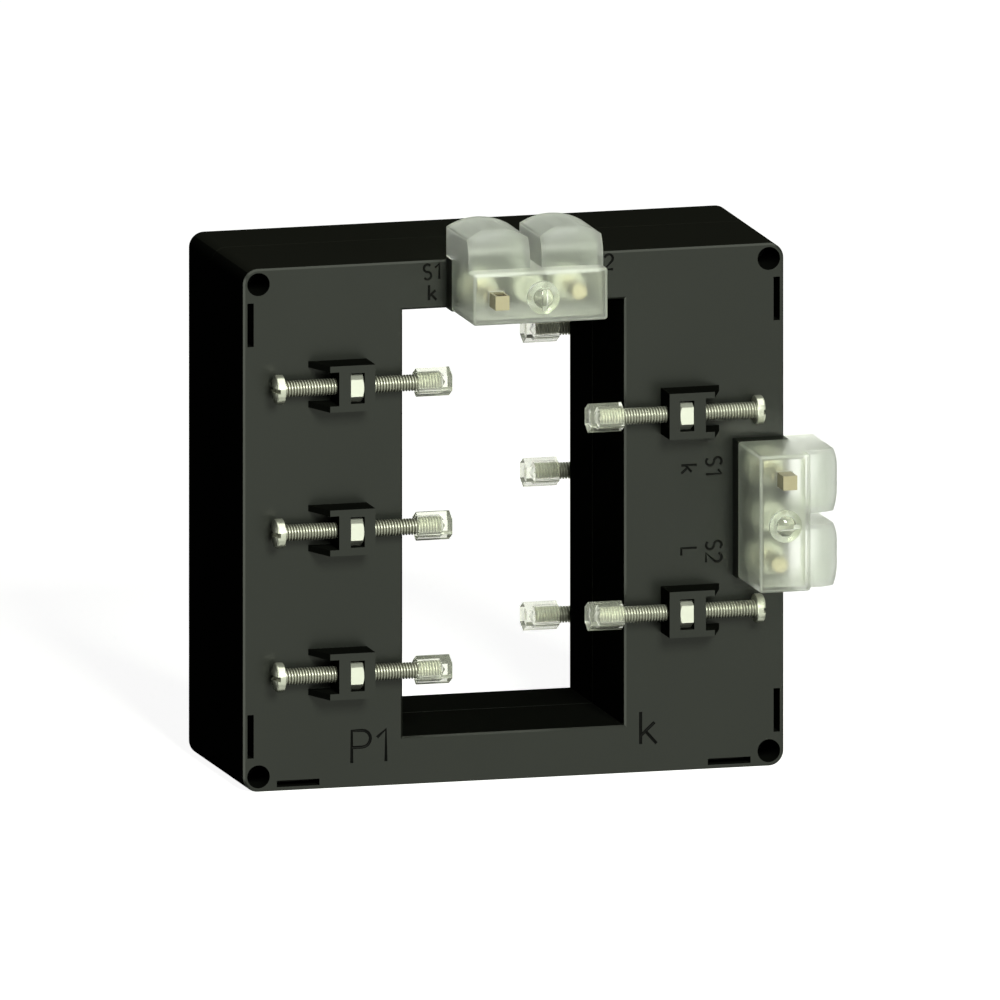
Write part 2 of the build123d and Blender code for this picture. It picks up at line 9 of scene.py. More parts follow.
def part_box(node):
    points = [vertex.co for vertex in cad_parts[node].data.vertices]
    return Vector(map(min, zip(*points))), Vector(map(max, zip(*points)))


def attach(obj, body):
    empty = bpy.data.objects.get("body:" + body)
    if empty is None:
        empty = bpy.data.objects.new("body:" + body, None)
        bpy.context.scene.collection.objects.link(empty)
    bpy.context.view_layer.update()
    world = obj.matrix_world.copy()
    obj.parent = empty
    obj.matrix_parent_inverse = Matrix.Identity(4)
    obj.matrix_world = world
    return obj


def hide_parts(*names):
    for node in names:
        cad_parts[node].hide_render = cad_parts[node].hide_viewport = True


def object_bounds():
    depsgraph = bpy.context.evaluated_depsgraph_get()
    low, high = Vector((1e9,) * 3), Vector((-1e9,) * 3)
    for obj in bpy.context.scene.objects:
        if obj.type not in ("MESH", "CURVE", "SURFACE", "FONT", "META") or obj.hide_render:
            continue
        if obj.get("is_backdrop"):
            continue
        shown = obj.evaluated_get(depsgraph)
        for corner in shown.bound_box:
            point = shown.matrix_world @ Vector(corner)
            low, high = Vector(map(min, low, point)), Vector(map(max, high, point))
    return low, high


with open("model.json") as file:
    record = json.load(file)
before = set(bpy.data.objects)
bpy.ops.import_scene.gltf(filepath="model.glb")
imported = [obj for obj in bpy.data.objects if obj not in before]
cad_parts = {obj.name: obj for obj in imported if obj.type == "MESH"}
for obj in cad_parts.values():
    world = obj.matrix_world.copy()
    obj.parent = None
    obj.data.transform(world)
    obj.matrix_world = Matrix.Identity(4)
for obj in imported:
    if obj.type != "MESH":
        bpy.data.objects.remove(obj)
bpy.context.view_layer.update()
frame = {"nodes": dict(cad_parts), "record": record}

# The busbar current transformer's finish, threads, marks, light and camera. Lengths
# are in metres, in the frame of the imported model: X right, front towards -Y, Z up.
MM = 0.001
scene = bpy.context.scene
nodes = frame["nodes"]
bodies = frame["record"]["behaviour"]["bodies"]
body_of_node = {node: body for body, members in bodies.items() for node in members}

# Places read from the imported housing, and the two terminal blocks
rear_low, rear_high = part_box("rear_shell")
housing_height = rear_high.z - rear_low.z
middle_z = housing_height / 2
blocks = ("top", "side")


def plane_of_front():
    """The flat front face: the largest front-facing plane of the front shell."""
    mesh = nodes["front_shell"].data
    areas = {}
    for face in mesh.polygons:
        if face.normal.y < -0.999:
            place = round(face.center.y, 6)
            areas[place] = areas.get(place, 0) + face.area
    return max(areas, key=areas.get)


front_y = plane_of_front()


# Shader helpers

def new_material(name):
    """A material with a Principled shader alone."""
    material = bpy.data.materials.new(name)
    material.use_nodes = True
    tree = material.node_tree
    tree.nodes.clear()
    output = tree.nodes.new("ShaderNodeOutputMaterial")
    shader = tree.nodes.new("ShaderNodeBsdfPrincipled")
    tree.links.new(shader.outputs["BSDF"], output.inputs["Surface"])
    return material, tree, shader


def new_group(name, inputs, outputs):
    """An empty node group with float, colour or vector sockets."""
    kinds = {"float": "NodeSocketFloat", "color": "NodeSocketColor", "vector": "NodeSocketVector"}
    group = bpy.data.node_groups.new(name, "ShaderNodeTree")
    for label, kind, value in inputs:
        socket = group.interface.new_socket(label, in_out="INPUT", socket_type=kinds[kind])
        socket.default_value = value
    for label, kind in outputs:
        group.interface.new_socket(label, in_out="OUTPUT", socket_type=kinds[kind])
    entry = group.nodes.new("NodeGroupInput")
    leave = group.nodes.new("NodeGroupOutput")
    return group, entry, leave


def math_node(tree, operation, first, second):
    """A sum of two values, each a number or a linked socket."""
    node = tree.nodes.new("ShaderNodeMath")
    node.operation = operation
    for socket, value in zip(node.inputs, (first, second)):
        if hasattr(value, "is_output"):
            tree.links.new(value, socket)
        else:
            socket.default_value = value
    return node.outputs["Value"]


def build_moulding_grain():
    """Moulded plastic: fine spark-eroded grain, and slow changes of tone and gloss."""
    group, entry, leave = new_group(
        "moulding_grain",
        [
            ("Color", "color", (0.05, 0.05, 0.05, 1)),
            ("Roughness", "float", 0.5),
            ("Tone Change", "float", 0.1),
            ("Gloss Change", "float", 0.1),
            ("Grain Size", "float", 0.3),
        ],
        [("Color", "color"), ("Roughness", "float"), ("Height", "float")],
    )
    links = group.links
    place = group.nodes.new("ShaderNodeTexCoord")
    per_metre = math_node(group, "DIVIDE", 1.0 / MM, entry.outputs["Grain Size"])
    grain = group.nodes.new("ShaderNodeTexNoise")
    grain.inputs["Detail"].default_value = 3
    links.new(place.outputs["Object"], grain.inputs["Vector"])
    links.new(per_metre, grain.inputs["Scale"])
    cloud = group.nodes.new("ShaderNodeTexNoise")
    cloud.inputs["Scale"].default_value = 0.03 / MM
    cloud.inputs["Detail"].default_value = 4
    links.new(place.outputs["Object"], cloud.inputs["Vector"])
    swing = math_node(group, "SUBTRACT", cloud.outputs["Fac"], 0.5)
    tone = math_node(group, "MULTIPLY", swing, entry.outputs["Tone Change"])
    factor = math_node(group, "ADD", tone, 1.0)
    speck = math_node(group, "SUBTRACT", grain.outputs["Fac"], 0.5)
    speck_tone = math_node(group, "MULTIPLY", speck, entry.outputs["Tone Change"])
    factor = math_node(group, "ADD", factor, speck_tone)
    shade = group.nodes.new("ShaderNodeVectorMath")
    shade.operation = "SCALE"
    links.new(entry.outputs["Color"], shade.inputs[0])
    links.new(factor, shade.inputs["Scale"])
    gloss = math_node(group, "MULTIPLY", swing, entry.outputs["Gloss Change"])
    rough = math_node(group, "ADD", entry.outputs["Roughness"], gloss)
    links.new(shade.outputs["Vector"], leave.inputs["Color"])
    links.new(rough, leave.inputs["Roughness"])
    links.new(grain.outputs["Fac"], leave.inputs["Height"])
    return group


def build_metal_finish():
    """Plated or bright metal: faint clouding of tone and polish with fine scratches."""
    group, entry, leave = new_group(
        "metal_finish",
        [
            ("Color", "color", (0.8, 0.8, 0.8, 1)),
            ("Dull Color", "color", (0.6, 0.6, 0.6, 1)),
            ("Roughness", "float", 0.2),
            ("Scratch Size", "float", 0.25),
        ],
        [("Color", "color"), ("Roughness", "float"), ("Height", "float")],
    )
    links = group.links
    place = group.nodes.new("ShaderNodeTexCoord")
    stretch = group.nodes.new("ShaderNodeMapping")
    stretch.inputs["Scale"].default_value = (0.15, 1, 1)
    links.new(place.outputs["Object"], stretch.inputs["Vector"])
    per_metre = math_node(group, "DIVIDE", 1.0 / MM, entry.outputs["Scratch Size"])
    scratch = group.nodes.new("ShaderNodeTexNoise")
    scratch.inputs["Detail"].default_value = 2
    links.new(stretch.outputs["Vector"], scratch.inputs["Vector"])
    links.new(per_metre, scratch.inputs["Scale"])
    cloud = group.nodes.new("ShaderNodeTexNoise")
    cloud.inputs["Scale"].default_value = 0.4 / MM
    cloud.inputs["Detail"].default_value = 3
    links.new(place.outputs["Object"], cloud.inputs["Vector"])
    tone = group.nodes.new("ShaderNodeMix")
    tone.data_type = "RGBA"
    links.new(cloud.outputs["Fac"], tone.inputs["Factor"])
    links.new(entry.outputs["Dull Color"], tone.inputs["A"])
    links.new(entry.outputs["Color"], tone.inputs["B"])
    swing = math_node(group, "MULTIPLY", scratch.outputs["Fac"], 0.16)
    rough = math_node(group, "ADD", entry.outputs["Roughness"], swing)
    links.new(tone.outputs["Result"], leave.inputs["Color"])
    links.new(rough, leave.inputs["Roughness"])
    links.new(scratch.outputs["Fac"], leave.inputs["Height"])
    return group


moulding_grain = build_moulding_grain()
metal_finish = build_metal_finish()


# Depths of the finishes' relief
fine_grain = 0.004 * MM
nylon_grain = 0.01 * MM
fine_scratch = 0.002 * MM


def use_group(tree, shader, group, values, bump_depth):
    """Place a finish group in a material, with its own values and a bump."""
    finish = tree.nodes.new("ShaderNodeGroup")
    finish.node_tree = group
    for label, value in values.items():
        finish.inputs[label].default_value = value
    tree.links.new(finish.outputs["Color"], shader.inputs["Base Color"])
    tree.links.new(finish.outputs["Roughness"], shader.inputs["Roughness"])
    bump = tree.nodes.new("ShaderNodeBump")
    bump.inputs["Strength"].default_value = 1.0
    bump.inputs["Distance"].default_value = bump_depth
    tree.links.new(finish.outputs["Height"], bump.inputs["Height"])
    tree.links.new(bump.outputs["Normal"], shader.inputs["Normal"])


def moulded_plastic(name, color, roughness, gloss, grain_depth=fine_grain):
    """An opaque moulded plastic."""
    material, tree, shader = new_material(name)
    use_group(
        tree,
        shader,
        moulding_grain,
        {
            "Color": (*color, 1),
            "Roughness": roughness,
            "Tone Change": 0.12,
            "Gloss Change": 0.12,
            "Grain Size": 0.35,
        },
        grain_depth,
    )

    # The dull plastic doesn't mirror the shine of what stands beside it
    rays = tree.nodes.new("ShaderNodeLightPath")
    first_hand = math_node(tree, "SUBTRACT", 1.0, rays.outputs["Is Glossy Ray"])
    tree.links.new(
        math_node(tree, "MULTIPLY", first_hand, gloss), shader.inputs["Specular IOR Level"]
    )
    return material


def plated_metal(name, color, dull_color, roughness, metallic=1.0):
    """A bright metal, or a duller plating where it is only partly metallic."""
    material, tree, shader = new_material(name)
    use_group(
        tree,
        shader,
        metal_finish,
        {
            "Color": (*color, 1),
            "Dull Color": (*dull_color, 1),
            "Roughness": roughness,
            "Scratch Size": 0.2,
        },
        fine_scratch,
    )
    shader.inputs["Metallic"].default_value = metallic
    return material


def clear_plastic(name, color, roughness, clearness, ior, shade_share):
    """A clear or frosted plastic that lets part of the light through, lamp light too."""
    material, tree, shader = new_material(name)
    rays = tree.nodes.new("ShaderNodeLightPath")
    lost = math_node(tree, "MULTIPLY", rays.outputs["Is Shadow Ray"], 1 - shade_share)
    tree.links.new(math_node(tree, "SUBTRACT", 1.0, lost), shader.inputs["Alpha"])
    use_group(
        tree,
        shader,
        moulding_grain,
        {
            "Color": (*color, 1),
            "Roughness": roughness,
            "Tone Change": 0.04,
            "Gloss Change": 0.1,
            "Grain Size": 1.2,
        },
        fine_grain,
    )
    shader.inputs["Transmission Weight"].default_value = clearness
    shader.inputs["IOR"].default_value = ior
    return material


# One finish for each material slot. Numbers after the colours, in order: a moulding's
# roughness and gloss, a metal's roughness and share of metal, and a clear plastic's
# roughness, clearness, refraction and share of shadow
finishes = {
    "black_housing": moulded_plastic("black_moulding", (0.0165, 0.0180, 0.0160), 0.3, 0.4),
    "clear_cover": clear_plastic(
        "frosted_cover_moulding", (0.88, 0.90, 0.84), 0.34, 0.94, 1.25, 0.2
    ),
    "clear_cap": clear_plastic(
        "clear_cap_moulding", (0.95, 0.96, 0.88), 0.03, 0.86, 1.33, 0.3
    ),
    "nickel_steel": plated_metal("bright_nickel", (0.88, 0.87, 0.82), (0.78, 0.77, 0.71), 0.08),
    "terminal_brass": plated_metal("bright_brass", (0.92, 0.82, 0.52), (0.84, 0.70, 0.40), 0.25),
    "core_steel": plated_metal("core_strip", (0.42, 0.44, 0.46), (0.30, 0.31, 0.33), 0.35),
    "bobbin_plastic": moulded_plastic(
        "natural_nylon", (0.72, 0.70, 0.62), 0.45, 0.4, nylon_grain
    ),
    "copper_wire": plated_metal("enamelled_copper", (0.72, 0.34, 0.18), (0.58, 0.24, 0.12), 0.3),
    "lead_insulation": moulded_plastic("lead_sleeving", (0.45, 0.04, 0.03), 0.4, 0.4),
}

# Finishes for parts of a piece. The side walls and the top of the housing have no gloss. The sides'
# copy is also darker, as painted shade, and the top's copy has its own colour, set for the light on
# the top
# Near-black painted shade for the marks' grooves, standing for the shadow in the sunk letters
groove_painted_shade = moulded_plastic("groove_painted_shade", (0.002, 0.002, 0.002), 0.6, 0.1, fine_scratch)
dull_shaded_side_moulding = moulded_plastic("dull_black_moulding_painted_shade", (0.0075, 0.0080, 0.0070), 0.35, 0.0)
top_moulding = moulded_plastic("top_black_moulding", (0.0205, 0.0210, 0.0175), 0.35, 0.0)
satin_hood = clear_plastic("satin_hood_moulding", (0.86, 0.89, 0.83), 0.4, 0.93, 1.35, 0.2)
# A whiter, less clear copy of the clear plastic, a painted highlight on the hoods' ridges and front
# edges
painted_edge_highlight = clear_plastic("painted_highlight_edge_moulding", (0.92, 0.94, 0.88), 0.3, 0.62, 1.35, 0.2)
clear_knob = clear_plastic("clear_knob_moulding", (0.90, 0.92, 0.86), 0.05, 0.95, 1.45, 0.3)
socket_brass = plated_metal("socket_brass", (0.52, 0.47, 0.34), (0.46, 0.40, 0.27), 0.25)
head_plating = plated_metal("head_plating", (0.74, 0.74, 0.67), (0.66, 0.66, 0.59), 0.16, 0.6)
thread_crest = plated_metal("thread_crest", (0.56, 0.56, 0.50), (0.48, 0.48, 0.42), 0.26, 0.5)
# A darker copy of the thread's plating, painted shade in the thread's roots and on one flank
thread_valley_shade = plated_metal("thread_valley_shade", (0.30, 0.29, 0.25), (0.24, 0.23, 0.20), 0.3, 0.5)
spacer_plating = plated_metal("spacer_plating", (0.62, 0.62, 0.56), (0.52, 0.52, 0.46), 0.34, 0.4)
nut_plating = plated_metal("dull_nut_plating", (0.88, 0.88, 0.82), (0.80, 0.80, 0.74), 0.34, 0.55)

slot_of_node = {row["node"]: row["material_slot"] for row in frame["record"]["subparts"]}


def dress(piece, slot_name):
    """Give a piece the one finish of its material slot."""
    piece.data.materials.clear()
    piece.data.materials.append(finishes[slot_name])


for node_name, node in nodes.items():
    dress(node, slot_of_node[node_name])
for face_name in ("front", "rear"):
    nuts = nodes[face_name + "_clamp_nuts"]
    nuts.data.materials.clear()
    nuts.data.materials.append(nut_plating)


# Mesh helpers

def add_piece(name, mesh, body, slot_name, replaced=()):
    """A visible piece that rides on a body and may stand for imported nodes."""
    piece = bpy.data.objects.new(name, mesh)
    scene.collection.objects.link(piece)
    dress(piece, slot_name)
    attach(piece, body)
    if replaced:
        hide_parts(*replaced)
    return piece


def soften(mesh, angle):
    """Smooth shading, with edges sharper than the angle kept."""
    for face in mesh.polygons:
        face.use_smooth = True
    mesh.set_sharp_from_angle(angle=math.radians(angle))


weld_distance = 0.0005 * MM
flat_angle = math.radians(0.2)
round_angle = 22


def welded_copy(node_name, mesh_name):
    """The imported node's form with its split corners joined and no stored normals."""
    source = nodes[node_name].data
    plain = bpy.data.meshes.new(mesh_name + "_plain")
    plain.from_pydata(
        [vertex.co for vertex in source.vertices], [], [face.vertices for face in source.polygons]
    )
    bm = bmesh.new()
    bm.from_mesh(plain)
    bpy.data.meshes.remove(plain)
    bmesh.ops.remove_doubles(bm, verts=bm.verts, dist=weld_distance)
    bmesh.ops.dissolve_limit(bm, angle_limit=flat_angle, verts=bm.verts, edges=bm.edges)
    mesh = bpy.data.meshes.new(mesh_name)
    bm.to_mesh(mesh)
    bm.free()
    return mesh


def cut(mesh, cutter_mesh, name):
    """The mesh with the cutter taken out of it."""
    body = bpy.data.objects.new(name + "_uncut", mesh)
    tool = bpy.data.objects.new(name + "_cutter", cutter_mesh)
    for thing in (body, tool):
        scene.collection.objects.link(thing)
    boolean = body.modifiers.new("cut", "BOOLEAN")
    boolean.operation = "DIFFERENCE"
    boolean.solver = "EXACT"
    boolean.use_self = True
    boolean.object = tool
    bpy.context.view_layer.update()
    graph = bpy.context.evaluated_depsgraph_get()
    result = bpy.data.meshes.new_from_object(body.evaluated_get(graph))
    result.name = name
    for thing in (body, tool):
        bpy.data.objects.remove(thing)
    return result


def lathe(bm, profile, segments):
    """Turn a profile of (distance along, radius) round the X axis into the mesh."""
    rings = []
    for along, radius in profile:
        if radius < 1e-9:
            rings.append([bm.verts.new((along, 0, 0))])
            continue
        ring = []
        for step in range(segments):
            turn = 2 * math.pi * step / segments
            ring.append(bm.verts.new((along, radius * math.cos(turn), radius * math.sin(turn))))
        rings.append(ring)
    for near, far in zip(rings, rings[1:]):
        for step in range(segments):
            after = (step + 1) % segments
            corners = []
            for ring, place in ((near, step), (near, after), (far, after), (far, step)):
                corner = ring[place % len(ring)]
                if corner not in corners:
                    corners.append(corner)
            bm.faces.new(corners)


# Clamp screws with a real thread. Each step of a thread turn has its share of the pitch
# and its radius. The screw's finishes are the head's, the valley's and the crest's; the valley's is
# a darker copy, painted shade on the thread's root and falling flank
thread_pitch = 0.7 * MM
thread_outer = 1.98 * MM
thread_root = 1.5 * MM
thread_segments = 28
thread_steps = (
    (0.0, thread_root),
    (0.14, thread_root),
    (0.42, thread_outer),
    (0.7, thread_outer),
)
valley_shade_steps = (0, 3)
valley_shade_slot, crest_slot = 1, 2


def add_thread(bm, length, tip_radius):
    """A right-handed thread along X from 0, closed at both ends."""
    rows = int(math.ceil(length / thread_pitch) + 3) * len(thread_steps)
    grid = []
    for row in range(rows + len(thread_steps)):
        turn, step = divmod(row, len(thread_steps))
        offset, radius = thread_steps[step]
        ring = []
        for segment in range(thread_segments):
            share = segment / thread_segments
            along = (turn + offset + share - 2) * thread_pitch
            reach = min(radius, max(tip_radius + along, thread_root * 0.5))
            angle = 2 * math.pi * share
            ring.append(bm.verts.new((along, reach * math.cos(angle), reach * math.sin(angle))))
        grid.append(ring)
    for row in range(rows - 1):
        for segment in range(thread_segments):
            last = segment == thread_segments - 1
            after = 0 if last else segment + 1
            beside = row + (len(thread_steps) if last else 0)
            face = bm.faces.new(
                (
                    grid[row][segment],
                    grid[beside][after],
                    grid[beside + 1][after],
                    grid[row + 1][segment],
                )
            )
            # Faces of the root and the falling flank take the painted shade
            in_valley_shade = row % len(thread_steps) in valley_shade_steps
            face.material_index = valley_shade_slot if in_valley_shade else crest_slot
    for place, direction in ((0.0, -1), (length, 1)):
        found = bmesh.ops.bisect_plane(
            bm,
            geom=bm.verts[:] + bm.edges[:] + bm.faces[:],
            plane_co=(place, 0, 0),
            plane_no=(direction, 0, 0),
            clear_outer=True,
        )
        rim = [item for item in found["geom_cut"] if isinstance(item, bmesh.types.BMEdge)]
        bmesh.ops.edgeloop_fill(bm, edges=rim)


def build_screw_mesh(length, head_radius, head_height):
    """A slotted cheese head screw along X: the tip at 0, the head's top at the end."""
    thread_overlap = 0.3 * MM
    bm = bmesh.new()
    add_thread(bm, length + thread_overlap, thread_root)
    bmesh.ops.recalc_face_normals(bm, faces=bm.faces)
    thread_mesh = bpy.data.meshes.new("clamp_thread")
    bm.to_mesh(thread_mesh)
    bm.free()

    # The head: a short shoulder, a round rim and a low dome
    dome = 0.7 * MM
    edge = 0.5 * MM
    bevel = 0.15 * MM
    edge_steps, dome_steps, head_segments = 5, 8, 72
    top = length + head_height
    sphere = (head_radius**2 + dome**2) / (2 * dome)
    profile = [(length, 0), (length, head_radius - bevel), (length + bevel, head_radius)]
    rim_start = top - dome - edge * 0.6
    profile.append((rim_start, head_radius))
    for step in range(1, edge_steps):
        turn = math.radians(90 * step / edge_steps)
        drawn_in = edge * (1 - math.cos(turn))
        profile.append((rim_start + edge * math.sin(turn), head_radius - drawn_in))
    for step in range(dome_steps, -1, -1):
        radius = (head_radius - edge) * step / dome_steps
        profile.append((top - sphere + math.sqrt(sphere**2 - radius**2), radius))
    bm = bmesh.new()
    lathe(bm, profile, head_segments)
    bmesh.ops.recalc_face_normals(bm, faces=bm.faces)
    head_mesh = bpy.data.meshes.new("clamp_head")
    bm.to_mesh(head_mesh)
    bm.free()

    # The driver slot runs towards and away from the face
    slot_width, slot_depth = 1.1 * MM, 1.1 * MM
    bm = bmesh.new()
    size = Matrix.Diagonal((2 * slot_depth, 3 * head_radius, slot_width, 1))
    bmesh.ops.create_cube(bm, size=1, matrix=Matrix.Translation((top, 0, 0)) @ size)
    slot_mesh = bpy.data.meshes.new("clamp_slot")
    bm.to_mesh(slot_mesh)
    bm.free()
    head_mesh = cut(head_mesh, slot_mesh, "clamp_head")

    bm = bmesh.new()
    bm.from_mesh(thread_mesh)
    bm.from_mesh(head_mesh)
    mesh = bpy.data.meshes.new("clamp_screw")
    bm.to_mesh(mesh)
    bm.free()
    soften(mesh, 38)
    return mesh


clamp_names = sorted(
    name.removesuffix("_screw")
    for name in nodes
    if name.endswith("_screw") and not name.endswith("cover_screw")
)
screw_low, screw_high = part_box(clamp_names[0] + "_screw")
head_radius = (screw_high.z - screw_low.z) / 2
head_height = 2.5 * MM
screw_mesh = build_screw_mesh(screw_high.x - screw_low.x - head_height, head_radius, head_height)
for finish in (head_plating, thread_valley_shade, thread_crest):
    screw_mesh.materials.append(finish)

for clamp in clamp_names:
    low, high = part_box(clamp + "_screw")
    outwards = 1 if low.x + high.x > 0 else -1
    tip_x = low.x if outwards > 0 else high.x
    along = Vector((outwards, 0, 0))
    up = Vector((0, 0, 1))
    across = up.cross(along)
    turn = Matrix((along, across, up)).transposed().to_4x4()
    screw = bpy.data.objects.new(clamp + "_threaded_screw", screw_mesh)
    scene.collection.objects.link(screw)
    tip = (tip_x, (low.y + high.y) / 2, (low.z + high.z) / 2)
    screw.matrix_world = Matrix.Translation(tip) @ turn
    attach(screw, body_of_node[clamp + "_screw"])
    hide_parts(clamp + "_screw")


# Terminal marks sunk in the front face, drawn as single strokes of unit height

def arc_points(centre, radius, start, end, steps):
    """Points on a round stretch of a letter, angles in degrees."""
    points = []
    for step in range(steps + 1):
        angle = math.radians(start + (end - start) * step / steps)
        points.append((centre[0] + radius * math.cos(angle), centre[1] + radius * math.sin(angle)))
    return points


letters = {
    "P": [[(0, 0), (0, 1)] + arc_points((0.33, 0.74), 0.26, 90, -90, 8) + [(0, 0.48)]],
    "1": [[(0.02, 0.76), (0.3, 1), (0.3, 0)]],
    "2": [arc_points((0.28, 0.72), 0.28, 165, -35, 9) + [(0, 0), (0.58, 0)]],
    "S": [arc_points((0.28, 0.75), 0.25, 35, 270, 9) + arc_points((0.28, 0.25), 0.25, 90, -145, 9)],
    "k": [[(0, 0), (0, 1)], [(0.44, 0.66), (0, 0.26)], [(0.15, 0.4), (0.5, 0)]],
    "L": [[(0, 1), (0, 0), (0.46, 0)]],
}
letter_step = 0.78


def mark_strokes(text, origin, height, turned):
    """The strokes of a word in the front face's plane, X and height above the middle."""
    strokes = []
    for place, letter in enumerate(text):
        for line in letters[letter]:
            stroke = []
            for x, y in line:
                right = (x + place * letter_step) * height
                rise = y * height
                if turned:
                    stroke.append((origin[0] + rise, origin[1] - right))
                else:
                    stroke.append((origin[0] + right, origin[1] + rise))
            strokes.append(stroke)
    return strokes


def stroke_cutter(marks, stroke_width):
    """Round-bottomed grooves for all the marks, as one closed mesh."""
    curve = bpy.data.curves.new("mark_grooves", "CURVE")
    curve.dimensions = "3D"
    curve.bevel_depth = stroke_width / 2
    curve.bevel_resolution = 2
    curve.use_fill_caps = True
    for stroke in marks:
        spline = curve.splines.new("POLY")
        spline.points.add(len(stroke) - 1)
        for point, (x, z) in zip(spline.points, stroke):
            point.co = (x * MM, front_y, middle_z + z * MM, 1)
    holder = bpy.data.objects.new("mark_grooves", curve)
    scene.collection.objects.link(holder)
    bpy.context.view_layer.update()
    graph = bpy.context.evaluated_depsgraph_get()
    mesh = bpy.data.meshes.new_from_object(holder.evaluated_get(graph))
    bpy.data.objects.remove(holder)
    return mesh


# Each mark's text, place in millimetres from the face's middle, height and whether it is
# turned to read downwards
small_mark, side_mark, large_mark = 3.6, 3.8, 7.7
large_marks = (
    ("P1", (-39.4, -56.7), large_mark, False),
    ("k", (30.9, -55.7), large_mark, False),
)
small_marks = (
    ("S1", (-22.0, 58.0), small_mark, False),
    ("k", (-20.6, 53.0), small_mark, False),
    ("S2", (19.3, 58.2), small_mark, False),
    ("L", (21.0, 53.0), small_mark, False),
    ("S1", (46.8, 12.1), side_mark, True),
    ("k", (40.8, 10.4), side_mark, True),
    ("S2", (46.8, -7.9), side_mark, True),
    ("L", (40.8, -9.4), side_mark, True),
)
large_strokes = [stroke for mark in large_marks for stroke in mark_strokes(*mark)]
small_strokes = [stroke for mark in small_marks for stroke in mark_strokes(*mark)]
marks = large_strokes + small_strokes
large_groove, small_groove = 0.75 * MM, 0.6 * MM
mark_skin, mark_depth = 0.01 * MM, 0.6 * MM
mark_reach_x, mark_reach_z = 3, 4


def in_a_mark(centre):
    """Whether a face lies in one of the grooves, by its distance from their points."""
    if not mark_skin < centre.y - front_y < mark_depth:
        return False
    x, z = centre.x / MM, (centre.z - middle_z) / MM
    return any(
        abs(x - point_x) < mark_reach_x and abs(z - point_z) < mark_reach_z
        for stroke in marks
        for point_x, point_z in stroke
    )


marked_mesh = welded_copy("front_shell", "front_shell_marked")
for strokes, width in ((large_strokes, large_groove), (small_strokes, small_groove)):
    marked_mesh = cut(marked_mesh, stroke_cutter(strokes, width), "front_shell_marked")
soften(marked_mesh, round_angle)
marked_shell = add_piece(
    "front_shell_marked", marked_mesh, body_of_node["front_shell"], "black_housing", ("front_shell",)
)
plain_rear = welded_copy("rear_shell", "rear_shell_finished")
soften(plain_rear, round_angle)
rear_piece = add_piece(
    "rear_shell_finished", plain_rear, body_of_node["rear_shell"], "black_housing", ("rear_shell",)
)

# The rear shell's lip reaches this far past the seam
lip_reach = 1.5 * MM
seam_y = rear_low.y + lip_reach
seam_bevel = 0.12 * MM
seam_skin = 0.01 * MM


def ease_seam(mesh):
    """A small bevel where the two halves meet, which shows as a fine line."""
    bm = bmesh.new()
    bm.from_mesh(mesh)
    bm.normal_update()
    rim = []
    for line in bm.edges:
        on_seam = all(abs(end.co.y - seam_y) < seam_skin for end in line.verts)
        if on_seam and len(line.link_faces) == 2 and line.is_convex:
            flat = [abs(face.normal.y) > 0.99 for face in line.link_faces]
            if flat[0] != flat[1]:
                rim.append(line)
    bmesh.ops.bevel(bm, geom=rim, offset=seam_bevel, segments=1, profile=0.5, affect="EDGES")
    bm.to_mesh(mesh)
    bm.free()
    soften(mesh, round_angle)


# Past this many times the core's middle line, a face is on the housing's outside
core_low, core_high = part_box("core")
core_middle = 8 * MM
middle_line_x = core_high.x - core_middle
middle_line_z = (core_high.z - core_low.z) / 2 - core_middle
outside_share = 1.1
seam_band = 0.2 * MM
top_band = 1 * MM
# Indices of the finishes: the polished front and back, the sides' painted shade, the top's own copy,
# and the grooves' painted shade
polished, dull, on_top, shaded_groove = range(4)


def finish_of_wall(face):
    """The front and back come from polished mould walls. The other sides are dull and darker, as
    painted shade, and the top has its own copy, its colour set for the light on it.
    """
    off_x = abs(face.center.x) / middle_line_x
    off_z = abs(face.center.z - middle_z) / middle_line_z
    # On the outside, the seam's bevel takes the sides' painted-shade copy or the top's copy instead
    # of the gloss, which draws the seam as a fine line
    by_seam = abs(face.center.y - seam_y) < seam_band
    outer_seam = by_seam and max(off_x, off_z) > outside_share
    if abs(face.normal.y) > 0.5 and not outer_seam:
        return polished
    faces_up = face.normal.z > 0.5 and face.center.z > housing_height - top_band
    return on_top if faces_up else dull


for shell in (marked_shell, rear_piece):
    ease_seam(shell.data)
    for finish in (dull_shaded_side_moulding, top_moulding, groove_painted_shade):
        shell.data.materials.append(finish)
    for face in shell.data.polygons:
        face.material_index = finish_of_wall(face)
        # Faces in the marks' grooves take the near-black painted shade
        if shell == marked_shell and in_a_mark(face.center):
            face.material_index = shaded_groove
    weighted = shell.modifiers.new("edge_light", "WEIGHTED_NORMAL")
    weighted.keep_sharp = True
    weighted.weight = 100


# The covers, caps, knobs and brass pieces keep their form, with smooth shading on round
# stretches
for name in nodes:
    if slot_of_node[name] in ("clear_cover", "clear_cap", "terminal_brass"):
        finished = welded_copy(name, name + "_finished")
        soften(finished, round_angle)
        add_piece(name + "_finished", finished, body_of_node[name], slot_of_node[name], (name,))
        if name.endswith("cover_screw"):
            finished.materials[0] = clear_knob
        if slot_of_node[name] == "terminal_brass":
            finished.materials[0] = socket_brass

# The hoods' arches are satin, and lie out past the covers' boxes. Their ridges are eased, and the
# eased ridges and the front edges take a whiter, less clear copy, a painted highlight
past_base = 0.3 * MM
ridge_bevel = 0.22 * MM
front_edge_depth = 0.9 * MM
frosted, satin, highlight_edge = range(3)


def is_arch(face, out, along, edge):
    """Whether a face lies out past the box and doesn't look along the row of hoods."""
    past_box = max(getattr(corner.co, out) for corner in face.verts) > edge
    return past_box and abs(getattr(face.normal, along)) < 0.7


